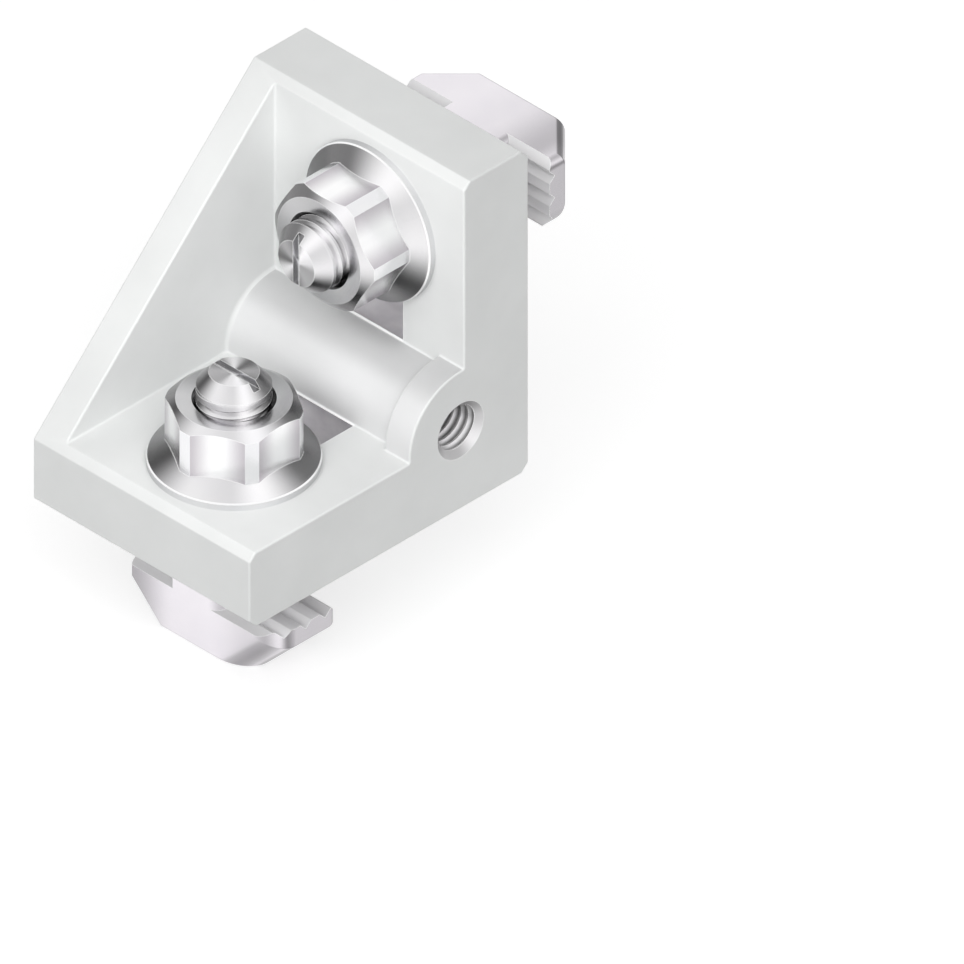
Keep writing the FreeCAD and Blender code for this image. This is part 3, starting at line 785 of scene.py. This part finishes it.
# The frames of both bolts, turned so that X points out of the bracket's open corner
lower_frame = (upright @ Matrix.Rotation(math.radians(LOWER_OPEN_CORNER), 4, "Z")).inverted()
upper_frame = (lying @ Matrix.Rotation(math.radians(UPPER_OPEN_CORNER), 4, "Z")).inverted()

dress(
    bracket, cast_aluminium("cast_aluminium"), (machined_aluminium(), in_boss_hole),
    (slot_wall_painted_light(), in_slot), (cast_aluminium("cast_boss_painted_shade", BOSS_PAINTED_SHADE), on_boss))
dress(
    lower_bolt,
    zinc_head(
        "zinc_lower_head", lower_frame, LOWER_OPEN_CORNER,
        LOWER_HEAD_PAINTED_BANDS, LOWER_CORNER_PAINTED_FAN, LOWER_EDGE_SHADE),
    (zinc_bolt_end("zinc_lower_rod", lower_frame), lambda middle, normal: middle.z > NECK_TOP),
    (zinc_grip("zinc_lower_grip", lower_frame, LOWER_OPEN_CORNER), lambda middle, normal: normal.z > 0.3))
dress(
    upper_bolt,
    zinc_head(
        "zinc_upper_head", upper_frame, UPPER_OPEN_CORNER,
        UPPER_HEAD_PAINTED_BANDS, UPPER_CORNER_PAINTED_FAN, UPPER_EDGE_SHADE),
    (zinc_bolt_end("zinc_upper_rod", upper_frame), lambda middle, normal: middle.y < -NECK_TOP),
    (zinc_grip("zinc_upper_grip", upper_frame, UPPER_OPEN_CORNER), lambda middle, normal: normal.y < -0.3))
for node, place, first_flat in (
        ("lower_flange_nut", lower_frame, LOWER_FLAT),
        ("upper_flange_nut", upper_frame, UPPER_FLAT)):
    finish = zinc_nut("zinc_" + node, place, first_flat)
    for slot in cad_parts[node].material_slots:
        slot.material = finish


# Floor, light and camera

FLOOR_LEVEL = -12.15 * MM
FLOOR_SIZE = 3.0
FLOOR_COLOUR = (0.5, 0.5, 0.5, 1.0)
FLOOR_ROUGHNESS = 0.9
# The floor's own glow for the rays that are seen, which brings it up to the white ground
FLOOR_LIFT = 0.64
AMBIENT = 0.4
# Name, direction, strength and spread in degrees of each distant lamp
DISTANT_LAMPS = (
    ("key", (0.385, -0.653, 0.653), 0.7, 70.0),
    ("fill", TO_CAMERA, 1.2, 60.0),
    ("back", (-1.0, 1.0, 0.25), 0.6, 70.0))
CORNER_LAMP_PLACE = Vector((10.0, -48.0, 48.0)) * MM
CORNER_LAMP_STRENGTH = 0.026
CORNER_LAMP_RADIUS = 15 * MM
CAMERA_REACH = 5.0


def facing(direction):
    return direction.to_track_quat("Z", "Y").to_euler()


def seen_rays(tree):
    """1 for what the camera and mirror-like surfaces see, 0 for the light that falls on matt ones."""
    path = tree.nodes.new("ShaderNodeLightPath")
    first = tree.nodes.new("ShaderNodeMath")
    first.operation = "MAXIMUM"
    second = tree.nodes.new("ShaderNodeMath")
    second.operation = "MAXIMUM"
    tree.links.new(path.outputs["Is Camera Ray"], first.inputs[0])
    tree.links.new(path.outputs["Is Glossy Ray"], first.inputs[1])
    tree.links.new(first.outputs["Value"], second.inputs[0])
    tree.links.new(path.outputs["Is Transmission Ray"], second.inputs[1])
    return second.outputs["Value"]


def make_world():
    world = bpy.data.worlds.new("studio")
    bpy.context.scene.world = world
    world.use_nodes = True
    tree = world.node_tree
    background = tree.nodes["Background"]
    background.inputs["Color"].default_value = WHITE
    level = tree.nodes.new("ShaderNodeMapRange")
    level.inputs["To Min"].default_value = AMBIENT
    level.inputs["To Max"].default_value = 1.0
    tree.links.new(seen_rays(tree), level.inputs["Value"])
    tree.links.new(level.outputs["Result"], background.inputs["Strength"])


def make_floor():
    mesh = bpy.data.meshes.new("floor")
    half = FLOOR_SIZE / 2
    corners = [(-half, -half, 0), (half, -half, 0), (half, half, 0), (-half, half, 0)]
    mesh.from_pydata(corners, [], [(0, 1, 2, 3)])
    floor = new_piece("floor", mesh)
    floor.location.z = FLOOR_LEVEL
    material = bpy.data.materials.new("pale_floor")
    material.use_nodes = True
    tree = material.node_tree
    shader = tree.nodes["Principled BSDF"]
    shader.inputs["Base Color"].default_value = FLOOR_COLOUR
    shader.inputs["Roughness"].default_value = FLOOR_ROUGHNESS
    shader.inputs["Specular IOR Level"].default_value = 0.0
    shader.inputs["Emission Color"].default_value = WHITE
    lift = tree.nodes.new("ShaderNodeMath")
    lift.operation = "MULTIPLY"
    lift.inputs[1].default_value = FLOOR_LIFT
    tree.links.new(seen_rays(tree), lift.inputs[0])
    tree.links.new(lift.outputs["Value"], shader.inputs["Emission Strength"])
    mesh.materials.append(material)


def make_distant_lamp(name, direction, strength, spread):
    lamp = bpy.data.lights.new(name, "SUN")
    lamp.energy = strength
    lamp.angle = math.radians(spread)
    holder = new_piece(name, lamp)
    holder.rotation_euler = facing(Vector(direction))
    holder.visible_glossy = False


def make_corner_lamp():
    """A small lamp in the bracket's open corner, which lifts its inner faces."""
    lamp = bpy.data.lights.new("corner_lamp", "POINT")
    lamp.energy = CORNER_LAMP_STRENGTH
    lamp.shadow_soft_size = CORNER_LAMP_RADIUS
    holder = new_piece("corner_lamp", lamp)
    holder.location = CORNER_LAMP_PLACE
    holder.visible_glossy = False
    holder.visible_camera = False


def make_camera():
    lens = bpy.data.cameras.new("camera")
    lens.type = "ORTHO"
    lens.ortho_scale = IMAGE_SIZE / PIXELS_PER_MM * MM
    lens.clip_end = CAMERA_REACH
    camera = new_piece("camera", lens)
    camera.location = VIEW_CENTRE + TO_CAMERA * CAMERA_DISTANCE
    camera.rotation_euler = facing(TO_CAMERA)
    return camera


make_world()
make_floor()
for lamp_values in DISTANT_LAMPS:
    make_distant_lamp(*lamp_values)
make_corner_lamp()

scene = bpy.context.scene
scene.camera = make_camera()
scene.view_settings.view_transform = "Standard"
